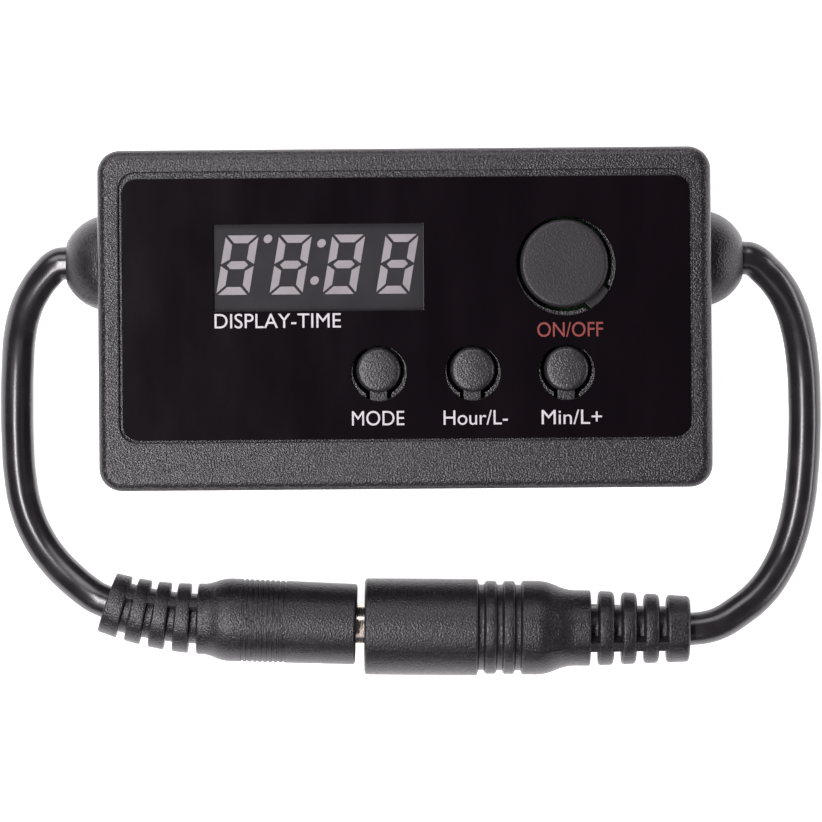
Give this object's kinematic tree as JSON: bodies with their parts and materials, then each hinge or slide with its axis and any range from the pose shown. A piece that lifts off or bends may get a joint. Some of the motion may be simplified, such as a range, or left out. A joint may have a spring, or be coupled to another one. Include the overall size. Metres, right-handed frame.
{
  "type": "in-line low-voltage lighting timer",
  "caption": "Flat plastic box with a digit display, one large and three small keys, and two short cords ending in a joined barrel plug and socket.",
  "frame": {"origin": "middle of the housing's back face, which the box lies on", "axes": "+Z out of the face, +X to the right of the display, +Y to the top of the face"},
  "size_m": [0.0989, 0.0627, 0.0232],
  "materials": {
    "housing": "spark-textured charcoal",
    "keys": "fine textured charcoal",
    "switch_plungers": "plain",
    "label": "gloss black film",
    "clear_window": "clear acrylic",
    "display_face": "grey painted",
    "display_segments": "milky epoxy",
    "board": "green solder resist",
    "component_black": "moulded black",
    "capacitor_can": "satin",
    "steel": "zinc plated",
    "moulded_pvc": "fine grained soft PVC",
    "cord_pvc": "satin soft PVC",
    "wire_red": "plain",
    "wire_black": "plain",
    "connector_plastic": "moulded black",
    "contact_nickel": "nickel plated"
  },
  "bodies": {
    "housing": {"back_cover": "housing", "board_screw_lower_left": "steel", "board_screw_lower_right": "steel", "board_screw_upper_left": "steel", "board_screw_upper_right": "steel", "case_screw_lower_left": "steel", "case_screw_lower_right": "steel", "case_screw_upper_left": "steel", "case_screw_upper_right": "steel", "clock_crystal": "steel", "display_header_lower": "component_black", "display_header_upper": "component_black", "display_light_guide": "display_segments", "display_reflector": "display_face", "display_window": "clear_window", "front_cover": "housing", "hour_switch_body": "component_black", "input_cord": "cord_pvc", "input_cord_bush": "moulded_pvc", "input_diode": "component_black", "input_wire_negative": "wire_black", "input_wire_positive": "wire_red", "label_overlay": "label", "main_circuit_board": "board", "microcontroller": "component_black", "minute_switch_body": "component_black", "mode_switch_body": "component_black", "on_off_switch_body": "component_black", "output_cord": "cord_pvc", "output_cord_bush": "moulded_pvc", "output_wire_negative": "wire_black", "output_wire_positive": "wire_red", "power_transistor": "component_black", "smoothing_capacitor": "capacitor_can", "socket_centre_pin": "contact_nickel", "socket_contact_sleeve": "contact_nickel", "socket_insert": "connector_plastic", "socket_moulding": "moulded_pvc", "voltage_regulator": "component_black"},
    "on_off_key": {"on_off_key": "keys", "on_off_switch_plunger": "switch_plungers"},
    "mode_key": {"mode_key": "keys", "mode_switch_plunger": "switch_plungers"},
    "hour_key": {"hour_key": "keys", "hour_switch_plunger": "switch_plungers"},
    "minute_key": {"minute_key": "keys", "minute_switch_plunger": "switch_plungers"},
    "plug": {"plug_moulding": "moulded_pvc", "plug_barrel": "contact_nickel", "plug_barrel_liner": "connector_plastic", "plug_centre_contact": "contact_nickel"}
  },
  "joints": [
    {"name": "on_off_press", "type": "hinge", "parent": "housing", "child": "on_off_key", "pos_m": [0.02612, -0.00114, 0.0208], "axis": [-0.7071, -0.7071, 0], "range_deg": [0, 1.36], "stiffness_Nm_per_rad": 0.04},
    {"name": "mode_press", "type": "hinge", "parent": "housing", "child": "mode_key", "pos_m": [-0.00314, -0.01305, 0.0208], "axis": [-1, 0, 0], "range_deg": [0, 2.05], "stiffness_Nm_per_rad": 0.04},
    {"name": "hour_press", "type": "hinge", "parent": "housing", "child": "hour_key", "pos_m": [0.00786, -0.01305, 0.0208], "axis": [-1, 0, 0], "range_deg": [0, 2.05], "stiffness_Nm_per_rad": 0.04},
    {"name": "minute_press", "type": "hinge", "parent": "housing", "child": "minute_key", "pos_m": [0.01886, -0.01305, 0.0208], "axis": [-1, 0, 0], "range_deg": [0, 2.05], "stiffness_Nm_per_rad": 0.04},
    {"name": "plug_pull", "type": "slide", "parent": "housing", "child": "plug", "axis": [-0.9999, 0.0154, 0], "range_m": [0, 0.0105], "deforming": ["output_cord"]}
  ]
}
